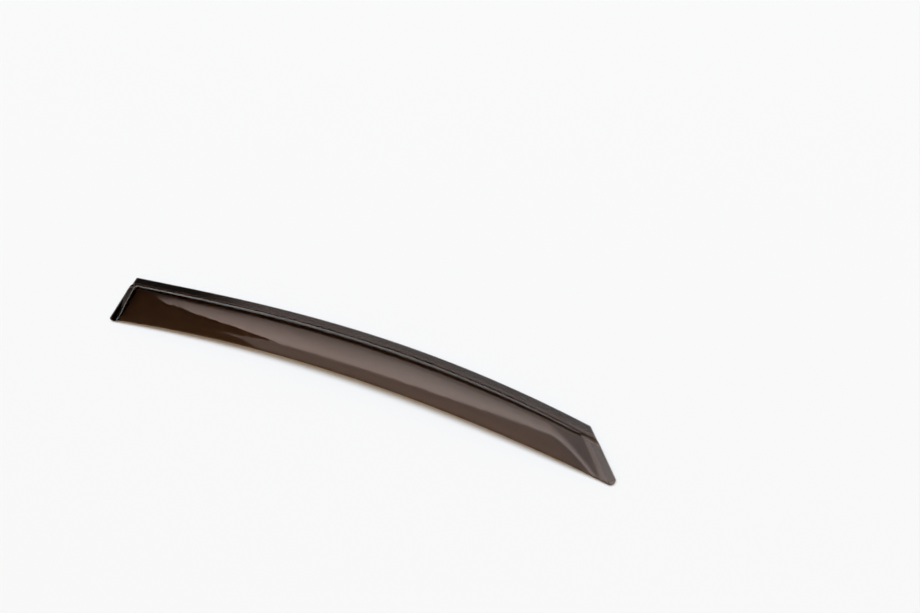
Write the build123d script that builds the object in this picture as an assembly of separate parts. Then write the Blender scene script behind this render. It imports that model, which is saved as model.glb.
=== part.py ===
"""Window rain deflector for the side window of a rear door.

One thermoformed sheet of smoked acrylic: a flat flange along the upper edge, a step up to a
long bowed hood with a free lower edge, and a low tab closing each end. Black foam tape under
the flange and under both tabs sticks it to the door frame.
X runs along the upper edge, +Y points to the upper edge, +Z away from the door.
"""
import os
from math import acos, atan, cos, radians, sin, tan

from build123d import *

# Plan of the sheet, seen square to the door
upper_chord = 627.2         # straight distance between the two upper corners
upper_rise = 24.3           # bulge of the upper edge over that chord at mid length
upper_front_angle = 6.3     # slope of the upper edge at the front corner
upper_rear_angle = 10.0     # slope of the upper edge at the rear corner
front_end = 67.0            # length of the square front end
front_end_angle = 90.7      # front end against the chord
rear_end = 76.0             # length of the slanted rear end
rear_end_angle = 49.5       # rear end against the chord
lip_rise = 23.7             # bulge of the free lower edge over its own chord
lip_front_angle = 8.0       # slope of the free edge at the front end
lip_rear_angle = 7.2        # slope of the free edge at the rear end
upper_corner_radius = 3.0
front_lower_radius = 4.5
rear_lower_radius = 5.5

# Forming of the sheet, heights taken over the outer face of the flange
sheet = 2.5                 # thickness of the acrylic
edge_ease = 0.7             # rounding of the sheet's rim
lip_ease = 2.2              # longer rounding of the polished free edge
flange_mid = 9.5            # width of the flat strip along the upper edge at mid length
flange_end = 11.0           # the same at the two ends
hood_step_mid = 19.5        # plan width of the step from flange to the crown of the hood at mid length
hood_step_end = 9.5         # the same towards the two ends
tab_step = 5.0              # plan width of the step from flange to a tab
foot_share = 0.08           # share of a step used by its tight foot at the flange
wall_share = 0.15           # share of a step used by its foot and steep wall, before its round shoulder
crown_mid = 17.0            # hood height at mid length
crown_end = 12.0            # hood height towards its two ends
lip_mid = 10.5              # height of the free edge at mid length
lip_end = 2.5               # height of the free edge towards the two ends
front_tab_width = 9.0       # front end tab, square to its end edge
rear_tab_width = 14.5       # the same at the rear end
tab_rise = 2.0              # a tab starts this much above the flange and falls to its level
front_wall_run = 14.0       # plan width of the fall from the hood to the front tab
front_hollow_share = 0.1    # share of that fall used by its hollow foot at the tab
front_wall_power = 4        # how steep the fall is at its foot, and how long its shoulder
rear_wall_run = 33.0        # the same three at the rear tab, where the fall is gentle
rear_hollow_share = 0.08
rear_wall_power = 2

# Foam tape
tape_thickness = 1.1
tape_width = 6.0            # strip under the flange
tab_tape_width = 8.0        # strip under a tab
tape_inset = 0.8            # tape inside the sheet's edge
tape_gap = 0.8              # bare sheet between the step and the top of a tab tape
front_tape_foot = 3.5       # bare length of the front end edge below its tape
rear_tape_foot = 12.0       # the same at the pointed rear end

# Number of sections lofted along the hood and along a wall, and angles round an eased rim
hood_section_count = 9
wall_section_count = 19
rim_angles = (0, 30, 60, 90)


def bulge(u, chord, start_angle, end_angle, rise):
    """Height of an edge over its chord at share u, set by its end slopes and its mid rise."""
    start = tan(radians(start_angle))
    end = tan(radians(end_angle))
    fill = 16 * rise / chord - 2 * (start + end)
    return chord * u * (1 - u) * (start + (end - start) * u + fill * u * (1 - u))


front_foot = Vector(front_end, 0).rotate(Axis.Z, -front_end_angle)
rear_foot = Vector(upper_chord, 0) + Vector(rear_end, 0).rotate(Axis.Z, -rear_end_angle)
lip_chord = rear_foot - front_foot
front_reach = upper_chord * sin(radians(front_end_angle))
rear_reach = upper_chord * sin(radians(rear_end_angle))


def upper_point(u):
    """Point of the upper edge at share u of the length."""
    y = bulge(u, upper_chord, upper_front_angle, upper_rear_angle, upper_rise)
    return Vector(upper_chord * u, y)


def lip_point(u):
    """Point of the free lower edge at share u of the length."""
    rise = bulge(u, lip_chord.length, lip_front_angle, lip_rear_angle, lip_rise)
    return front_foot + lip_chord * u + lip_chord.normalized().rotate(Axis.Z, 90) * rise


class Slice:
    """Straight plan line from the upper edge to the free edge at share u of the length."""

    def __init__(self, u):
        near = 0.001
        edge = (upper_point(u + near) - upper_point(u - near)).normalized()
        self.start = upper_point(u)
        self.length = (lip_point(u) - self.start).length
        self.along = (lip_point(u) - self.start).normalized()
        self.square = abs(edge.cross(self.along).Z)

    def at(self, q, z=0.0):
        """Point at distance q along the line and height z."""
        return self.start + self.along * q + Vector(0, 0, z)

    def off_edge(self, distance):
        """Distance along the line of the point lying that far off the upper edge."""
        return distance / self.square


front_tab_top = Slice(0).at(Slice(0).off_edge(flange_end + tab_step)).Y
rear_tab_top = Slice(1).at(Slice(1).off_edge(flange_end + tab_step)).Y


def tab_height(point, front):
    """Outer face of a tab over a plan point, a plane that falls to the flange's level."""
    top = front_tab_top if front else rear_tab_top
    foot = front_foot.Y if front else rear_foot.Y
    return tab_rise * (point.Y - foot) / (top - foot)


def round_rise(t, hollow, power):
    """Rise from 0 to 1: a hollow foot, a wall and a long round shoulder."""
    t = min(max(t, 0.0), 1.0)
    run = t**2 / (2 * hollow) if t < hollow else t - hollow / 2
    return 1 - (1 - run / (1 - hollow / 2))**power


def hood_share(u, inset):
    """How far the sheet has risen from a tab to the hood at share u of the length."""
    front = (u * front_reach - front_tab_width - inset) / front_wall_run
    rear = ((1 - u) * rear_reach - rear_tab_width - inset) / rear_wall_run
    from_front = round_rise(front, front_hollow_share, front_wall_power)
    return from_front * round_rise(rear, rear_hollow_share, rear_wall_power)


def face_points(u, inset):
    """Control points, along the slice and up, of step and hood for one face of the sheet."""
    cut = Slice(u)
    share = hood_share(u, inset)
    bow = 4 * u * (1 - u)
    crown = crown_end + (crown_mid - crown_end) * bow
    lip = lip_end + (lip_mid - lip_end) * bow
    hood_step = hood_step_end + (hood_step_mid - hood_step_end) * bow
    foot = cut.off_edge(flange_end + (flange_mid - flange_end) * bow)
    run = cut.off_edge(tab_step + (hood_step - tab_step) * share)
    span = cut.length - lip_ease - foot - run
    places = [foot + run + span * i / 3 for i in range(4)]
    hood = [crown, crown, crown - (crown - lip) / 3, lip]
    tab = [tab_height(cut.at(q), u < 0.5) for q in places]
    rise = [t + (h - t) * share for t, h in zip(tab, hood)]
    wall = foot + run * wall_share
    slope = (rise[1] - rise[0]) / (places[1] - places[0])
    over = rise[0] - slope * (places[0] - wall)
    step = [(foot, 0.0), (foot + run * foot_share, 0.0), (wall, over), (places[0], rise[0])]
    return step, list(zip(places, rise))


def section(u, pinch=0.0):
    """Closed outline of the sheet along one slice, thinned by pinch on both faces."""
    cut = Slice(u)
    step, hood = face_points(u, 0.0)
    under_step, under_hood = face_points(u, sheet / 2)
    slope = atan(2 * under_step[3][1] / (under_step[3][0] - under_step[0][0]))
    push = cut.along * (sheet * tan(slope / 2) * 4 / 3)
    lean = atan((hood[2][1] - hood[3][1]) / (hood[3][0] - hood[2][0]))
    back = sheet * sin(lean)
    under_hood[3] = (hood[3][0] - back, hood[3][1] + back * tan(lean))
    under = pinch - sheet
    outer_step = [cut.at(q, z - pinch) for q, z in step]
    outer_hood = [cut.at(q, z - pinch) for q, z in hood]
    inner_step = [cut.at(q, z + under) for q, z in under_step]
    inner_step[1] += push
    inner_step[2] += push
    inner_hood = [cut.at(q, z + under) for q, z in under_hood]
    lip_rim = (cut.along * cos(lean) - Vector(0, 0, sin(lean))) * (lip_ease * 4 / 3)
    lip = [outer_hood[3], outer_hood[3] + lip_rim, inner_hood[3] + lip_rim, inner_hood[3]]
    edge = edge_ease - edge_ease * 4 / 3
    top = [cut.at(edge_ease, under), cut.at(edge, under), cut.at(edge, -pinch), cut.at(edge_ease, -pinch)]
    return Wire([
        Edge.make_line(top[3], outer_step[0]),
        Edge.make_bezier(*outer_step),
        Edge.make_bezier(*outer_hood),
        Edge.make_bezier(*lip),
        Edge.make_bezier(*reversed(inner_hood)),
        Edge.make_bezier(*reversed(inner_step)),
        Edge.make_line(inner_step[0], top[0]),
        Edge.make_bezier(*top),
    ])


def shares(first, last, count):
    """Evenly spaced shares of the length."""
    return [first + (last - first) * i / (count - 1) for i in range(count)]


def corner_cut(edge, u, side, radius):
    """Prism outside one rounded plan corner, a hair inside the rounded rim."""
    one = Slice(u).along * side
    other = (edge(abs(u - 0.01)) - edge(u)).normalized()
    corner = edge(u) + one * (edge_ease / 20)
    half = acos(one.dot(other)) / 2
    inward = (one + other).normalized()
    ends = [corner + one * (radius / tan(half)), corner + other * (radius / tan(half))]
    middle = corner + inward * (radius / sin(half) - radius)
    outside = inward * -3 * radius
    arc = Edge.make_three_point_arc(ends[0], middle, ends[1])
    rest = Wire.make_polygon([ends[1], ends[1] + outside, ends[0] + outside, ends[0]], close=False)
    return extrude(Face(Wire([arc, *rest.edges()])), 2 * crown_mid, dir=(0, 0, 1), both=True)


# The sheet: tab, wall, hood, wall and tab joined end to end, with an eased rim at both ends
front_wall_end = front_tab_width + front_wall_run + sheet / 2
rear_wall_end = rear_tab_width + rear_wall_run + sheet / 2
front_wall = (front_tab_width / front_reach, front_wall_end / front_reach)
rear_wall = (1 - rear_wall_end / rear_reach, 1 - rear_tab_width / rear_reach)
runs = [
    shares(edge_ease / front_reach, front_wall[0], 2),
    shares(*front_wall, wall_section_count),
    shares(front_wall[1], rear_wall[0], hood_section_count),
    shares(*rear_wall, wall_section_count),
    shares(rear_wall[1], 1 - edge_ease / rear_reach, 2),
]
eased = [edge_ease * (1 - cos(radians(a))) for a in rim_angles]
pinched = [edge_ease * (1 - sin(radians(a))) for a in rim_angles]
front_rim = Solid.make_loft([section(e / front_reach, p) for e, p in zip(eased, pinched)])
rear_rim = Solid.make_loft([section(1 - e / rear_reach, p) for e, p in zip(eased, pinched)])
lengths = [Solid.make_loft([section(u) for u in run]) for run in runs]
shell = front_rim.fuse(*lengths, rear_rim)
shell -= corner_cut(upper_point, 0, 1, upper_corner_radius)
shell -= corner_cut(upper_point, 1, 1, upper_corner_radius)
shell -= corner_cut(lip_point, 0, -1, front_lower_radius)
shell -= corner_cut(lip_point, 1, -1, rear_lower_radius)


def flange_tape():
    """Strip under the flange, along its whole length."""
    first = tape_inset / front_reach
    last = 1 - tape_inset / rear_reach
    cuts = [Slice(u) for u in shares(first, last, hood_section_count)]
    near = [cut.at(cut.off_edge(tape_inset), -sheet) for cut in cuts]
    far = [cut.at(cut.off_edge(tape_inset + tape_width), -sheet) for cut in cuts]
    seat = Wire([
        Edge.make_spline(near),
        Edge.make_line(near[-1], far[-1]),
        Edge.make_spline(far),
        Edge.make_line(far[0], near[0]),
    ])
    return extrude(Face(seat), tape_thickness, dir=(0, 0, -1))


def tab_tape(front):
    """Strip under the outer part of a tab, on the tab's inner face, its foot cut square."""
    offsets = [tape_inset, tape_inset + tab_tape_width]
    if front:
        cuts = [Slice(d / front_reach) for d in offsets]
        end = front_foot - Slice(0).along * front_tape_foot
    else:
        cuts = [Slice(1 - d / rear_reach) for d in offsets]
        end = rear_foot - Slice(1).along * rear_tape_foot
    square = Slice(0 if front else 1).along
    plan = [cut.at(cut.off_edge(flange_end + tab_step) + tape_gap) for cut in cuts]
    for cut in reversed(cuts):
        plan.append(cut.at((end - cut.start).dot(square) / cut.along.dot(square)))
    seat = [p + Vector(0, 0, tab_height(p, front) - sheet) for p in plan]
    return extrude(Face(Wire.make_polygon(seat, close=True)), tape_thickness, dir=(0, 0, -1))


# Tape: one strip along the flange and one under each tab
upper_tape = flange_tape()
front_end_tape = tab_tape(True)
rear_end_tape = tab_tape(False)

# Origin at the middle of the plan box, on the plane the flange tape sticks to
middle = shell.bounding_box().center()
to_origin = Location((-middle.X, -middle.Y, sheet + tape_thickness))
os.makedirs("parts", exist_ok=True)
export_step(to_origin * shell, "parts/deflector_shell.step")
export_step(to_origin * upper_tape, "parts/upper_tape.step")
export_step(to_origin * front_end_tape, "parts/front_end_tape.step")
export_step(to_origin * rear_end_tape, "parts/rear_end_tape.step")
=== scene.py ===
"""Smoked acrylic window deflector lying on a white table, as in the photograph."""
import math

import bpy
from mathutils import Matrix, Vector

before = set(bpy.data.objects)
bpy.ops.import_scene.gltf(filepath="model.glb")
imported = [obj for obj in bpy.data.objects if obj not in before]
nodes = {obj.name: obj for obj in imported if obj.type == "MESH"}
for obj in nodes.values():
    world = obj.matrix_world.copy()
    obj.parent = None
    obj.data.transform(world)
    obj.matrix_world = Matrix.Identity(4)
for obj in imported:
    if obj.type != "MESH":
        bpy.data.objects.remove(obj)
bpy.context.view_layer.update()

# View: the camera looks down at the table, rolled a little, with the part lying across its frame
image_width = 920.0
focal_px = 634.0
camera_place = Vector((0.2808, -0.1972, 0.7146))
camera_axes = (
    Vector((0.93336, 0.34903, -0.08415)),   # right in the picture
    Vector((-0.27799, 0.85090, 0.44581)),   # up in the picture
    Vector((0.22720, -0.39271, 0.89116)),   # back towards the viewer
)

# Light: a panel and a lamp far overhead, placed by the slopes from the table to their edges
table_turn = math.radians(30.05)            # sideways direction of the table, from the part's +X
panel_height = 40.0
sky_left, sky_right = -0.77, 2.5            # lit part of the overhead panel
sky_front, sky_back = -1.1, 1.1
sky_notch, sky_fade = -0.59, 0.95           # left edge of its bright part, and start of the fade to its back
sky_warm = (1.25, 1.0, 0.93, 1.0)           # its colour at the left and at the right
sky_plain = (1.2, 1.05, 1.01, 1.0)
fill_level, key_level = 1.0, 1.25           # its light before and behind its bright front edge
front_glow, left_glow = 2.0, 1.4            # more light along its bright front and left edges
card_reach = 8.0                            # black card round the lit part
lamp_left, lamp_right = -0.57, 0.8          # lamp that lights the table, unseen in mirrors
lamp_front, lamp_back = -0.05, 0.4
lamp_height = 30.0
lamp_level = 6.85
lamp_tint = (0.79, 0.885, 1.0)              # cool lamp and warm faint light from all round, white together
world_tint = (0.26, 0.17, 0.06, 1.0)

# The panel's light: ranges of slope, sideways (across) or along the view, with the values at both ends
front_edge = (-0.6, -0.3, 0.025, -0.095)    # across, and how far along the bright front edge lies
front_edge_right = (0.0, 1.2, 0.0, -0.4)    # across, and what is added to that further right
front_edge_soft = (-0.04, 0.06, 0.0, 1.0)   # behind the edge, and share of the bright part
front_glow_depth = (0.1, 0.7, front_glow, 0.0)
front_glow_squeeze = (-0.2, 0.1, 1.0, 1.4)  # across, and how much faster the front glow fades
left_glow_width = (-0.57, -0.15, left_glow, 0.0)
left_glow_end = (0.35, 0.6, 1.0, 0.0)       # along, and share of the left glow
shade_along = (0.52, 0.62, 0.0, 1.0)        # dark back left corner, mirrored by the flange
shade_across = (-0.5, -0.3, 0.9, 0.0)
left_step = (0.0, 0.04, sky_left, sky_notch)
left_slant = (0.1, 0.5, 0.0, -0.065)        # along, and what is added to the left limit
colour_change = (-0.45, 0.0, 0.0, 1.0)      # across, from the warm colour to the plain one

# Table, a hair below the tape so that their faces stay apart
table_reach = 2.5
table_drop = 1e-4


def new_material(name):
    """A material with an empty node tree and its output node."""
    material = bpy.data.materials.new(name)
    material.use_nodes = True
    tree = material.node_tree
    tree.nodes.clear()
    return material, tree, tree.nodes.new("ShaderNodeOutputMaterial")


def node(tree, kind, **values):
    """A node with its sockets set by name."""
    made = tree.nodes.new(kind)
    for key, value in values.items():
        made.inputs[key.replace("_", " ")].default_value = value
    return made


def acrylic():
    """Clear polished sheet, brown through its thickness, with faint smears in its gloss."""
    material, tree, out = new_material("smoked_acrylic")
    link = tree.links.new
    place = tree.nodes.new("ShaderNodeTexCoord")
    body = tree.nodes.new("ShaderNodeBsdfPrincipled")
    body.inputs["Base Color"].default_value = (1.0, 1.0, 1.0, 1.0)
    body.inputs["Transmission Weight"].default_value = 1.0
    body.inputs["IOR"].default_value = 1.49
    smear = node(tree, "ShaderNodeTexNoise", Scale=30.0, Detail=6.0, Roughness=0.65)
    gloss = node(tree, "ShaderNodeMapRange", From_Min=0.35, From_Max=0.75, To_Min=0.012, To_Max=0.05)
    link(place.outputs["Object"], smear.inputs["Vector"])
    link(smear.outputs["Fac"], gloss.inputs["Value"])
    link(gloss.outputs["Result"], body.inputs["Roughness"])
    smoke = node(tree, "ShaderNodeVolumeAbsorption", Density=1100.0)
    smoke.inputs["Color"].default_value = (0.342, 0.205, 0.063, 1.0)
    link(body.outputs["BSDF"], out.inputs["Surface"])
    link(smoke.outputs["Volume"], out.inputs["Volume"])
    return material


def foam():
    """Black closed-cell foam with a fine open grain."""
    material, tree, out = new_material("foam_tape")
    link = tree.links.new
    place = tree.nodes.new("ShaderNodeTexCoord")
    body = tree.nodes.new("ShaderNodeBsdfPrincipled")
    body.inputs["Roughness"].default_value = 0.85
    grain = node(tree, "ShaderNodeTexNoise", Scale=2200.0, Detail=3.0, Roughness=0.6)
    tone = tree.nodes.new("ShaderNodeValToRGB")
    tone.color_ramp.elements[0].color = (0.006, 0.006, 0.006, 1.0)
    tone.color_ramp.elements[1].color = (0.028, 0.027, 0.026, 1.0)
    bump = node(tree, "ShaderNodeBump", Strength=0.4, Distance=0.0002)
    link(place.outputs["Object"], grain.inputs["Vector"])
    link(grain.outputs["Fac"], tone.inputs["Fac"])
    link(grain.outputs["Fac"], bump.inputs["Height"])
    link(tone.outputs["Color"], body.inputs["Base Color"])
    link(bump.outputs["Normal"], body.inputs["Normal"])
    link(body.outputs["BSDF"], out.inputs["Surface"])
    return material


def floor_white():
    """Matt white table."""
    material, tree, out = new_material("white_table")
    body = node(tree, "ShaderNodeBsdfDiffuse", Roughness=0.0)
    body.inputs["Color"].default_value = (0.93, 0.93, 0.93, 1.0)
    tree.links.new(body.outputs["BSDF"], out.inputs["Surface"])
    return material


def ranged(tree, value, start, end, to_start, to_end, smooth=True):
    """A value carried from one range to another, held at both ends."""
    made = node(tree, "ShaderNodeMapRange")
    made.interpolation_type = "SMOOTHSTEP" if smooth else "LINEAR"
    for key, number in (("From Min", start), ("From Max", end), ("To Min", to_start), ("To Max", to_end)):
        made.inputs[key].default_value = number
    tree.links.new(value, made.inputs["Value"])
    return made.outputs["Result"]


def combine(tree, operation, first, second):
    """Two values joined by one operation; the second may be a plain number."""
    made = tree.nodes.new("ShaderNodeMath")
    made.operation = operation
    tree.links.new(first, made.inputs[0])
    if isinstance(second, float):
        made.inputs[1].default_value = second
    else:
        tree.links.new(second, made.inputs[1])
    return made.outputs["Value"]


def sky_light():
    """Light of the overhead panel: bright along its front and left edges, dim before the front edge."""
    material, tree, out = new_material("sky_panel")
    place = tree.nodes.new("ShaderNodeTexCoord")
    split = tree.nodes.new("ShaderNodeSeparateXYZ")
    tree.links.new(place.outputs["Object"], split.inputs["Vector"])
    across = combine(tree, "DIVIDE", split.outputs["X"], panel_height)
    along = combine(tree, "DIVIDE", split.outputs["Y"], panel_height)
    edge = combine(tree, "ADD", ranged(tree, across, *front_edge, smooth=False),
                   ranged(tree, across, *front_edge_right, smooth=False))
    behind = combine(tree, "SUBTRACT", along, edge)
    beside = combine(tree, "MULTIPLY", ranged(tree, across, *left_glow_width),
                     ranged(tree, along, *left_glow_end))
    depth = combine(tree, "MULTIPLY", behind, ranged(tree, across, *front_glow_squeeze))
    glow = combine(tree, "MAXIMUM", ranged(tree, depth, *front_glow_depth), beside)
    key = combine(tree, "ADD", glow, key_level - fill_level)
    key = combine(tree, "MULTIPLY", key, ranged(tree, behind, *front_edge_soft))
    level = combine(tree, "ADD", key, fill_level)
    level = combine(tree, "MULTIPLY", level, ranged(tree, along, sky_fade, sky_back, 1.0, 0.0))
    shade = combine(tree, "MULTIPLY", ranged(tree, along, *shade_along),
                    ranged(tree, across, *shade_across))
    level = combine(tree, "SUBTRACT", level, combine(tree, "MULTIPLY", level, shade))
    left = combine(tree, "ADD", ranged(tree, along, *left_step, smooth=False),
                   ranged(tree, along, *left_slant, smooth=False))
    level = combine(tree, "MULTIPLY", level, combine(tree, "GREATER_THAN", across, left))
    level = combine(tree, "MULTIPLY", level, combine(tree, "LESS_THAN", across, sky_right))
    level = combine(tree, "MULTIPLY", level, combine(tree, "GREATER_THAN", along, sky_front))
    light = tree.nodes.new("ShaderNodeEmission")
    tone = tree.nodes.new("ShaderNodeValToRGB")
    tone.color_ramp.elements[0].color = sky_warm
    tone.color_ramp.elements[1].color = sky_plain
    tree.links.new(ranged(tree, across, *colour_change), tone.inputs["Fac"])
    tree.links.new(tone.outputs["Color"], light.inputs["Color"])
    tree.links.new(level, light.inputs["Strength"])
    tree.links.new(light.outputs["Emission"], out.inputs["Surface"])
    return material


def plane(name, corners, material):
    """A flat four-cornered sheet that is not part of the object."""
    mesh = bpy.data.meshes.new(name)
    mesh.from_pydata(corners, [], [(0, 1, 2, 3)])
    mesh.materials.append(material)
    made = bpy.data.objects.new(name, mesh)
    bpy.context.scene.collection.objects.link(made)
    return made


def panel(name, material):
    """A light panel lying level far over the table, seen only in mirrors and through the sheet."""
    edge = card_reach * panel_height
    corners = [(-edge, -edge, 0.0), (-edge, edge, 0.0), (edge, edge, 0.0), (edge, -edge, 0.0)]
    made = plane(name, corners, material)
    made.location.z = panel_height
    made.rotation_euler.z = table_turn
    made.visible_camera = False
    made.visible_diffuse = False
    return made


for piece in nodes.values():
    piece.data.materials.clear()
shell_material = acrylic()
tape_material = foam()
nodes["deflector_shell"].data.materials.append(shell_material)
for name in ("upper_tape", "front_end_tape", "rear_end_tape"):
    nodes[name].data.materials.append(tape_material)

table_corners = [(-table_reach, -table_reach, -table_drop), (table_reach, -table_reach, -table_drop),
                 (table_reach, table_reach, -table_drop), (-table_reach, table_reach, -table_drop)]
plane("floor", table_corners, floor_white())
lamp_data = bpy.data.lights.new("lamp", "AREA")
lamp_data.shape = "RECTANGLE"
lamp_data.size = (lamp_right - lamp_left) * lamp_height
lamp_data.size_y = (lamp_back - lamp_front) * lamp_height
lamp_data.energy = lamp_level * math.pi * lamp_data.size * lamp_data.size_y
lamp_data.color = lamp_tint
lamp = bpy.data.objects.new("lamp", lamp_data)
lamp_place = Vector((lamp_left + lamp_right, lamp_front + lamp_back, 2.0)) * (lamp_height / 2)
lamp.matrix_world = Matrix.Rotation(table_turn, 4, "Z") @ Matrix.Translation(lamp_place)
lamp.visible_glossy = False
bpy.context.scene.collection.objects.link(lamp)
panel("sky_panel", sky_light())

# World: faint warm light, white where it is seen directly, mirrored or through the sheet
world = bpy.data.worlds.new("studio")
bpy.context.scene.world = world
world.use_nodes = True
tree = world.node_tree
seen = tree.nodes.new("ShaderNodeLightPath")
direct = combine(tree, "MAXIMUM", seen.outputs["Is Camera Ray"], seen.outputs["Is Transmission Ray"])
direct = combine(tree, "MAXIMUM", direct, seen.outputs["Is Glossy Ray"])
tone = tree.nodes.new("ShaderNodeMixRGB")
tone.inputs["Color1"].default_value = world_tint
tone.inputs["Color2"].default_value = (1.0, 1.0, 1.0, 1.0)
tree.links.new(direct, tone.inputs["Fac"])
tree.links.new(tone.outputs["Color"], tree.nodes["Background"].inputs["Color"])

camera_data = bpy.data.cameras.new("camera")
camera_data.sensor_width = 36.0
camera_data.lens = focal_px / image_width * camera_data.sensor_width
camera = bpy.data.objects.new("camera", camera_data)
camera.matrix_world = Matrix.Translation(camera_place) @ Matrix(camera_axes).transposed().to_4x4()
bpy.context.scene.collection.objects.link(camera)
bpy.context.scene.camera = camera
bpy.context.scene.view_settings.view_transform = "Standard"
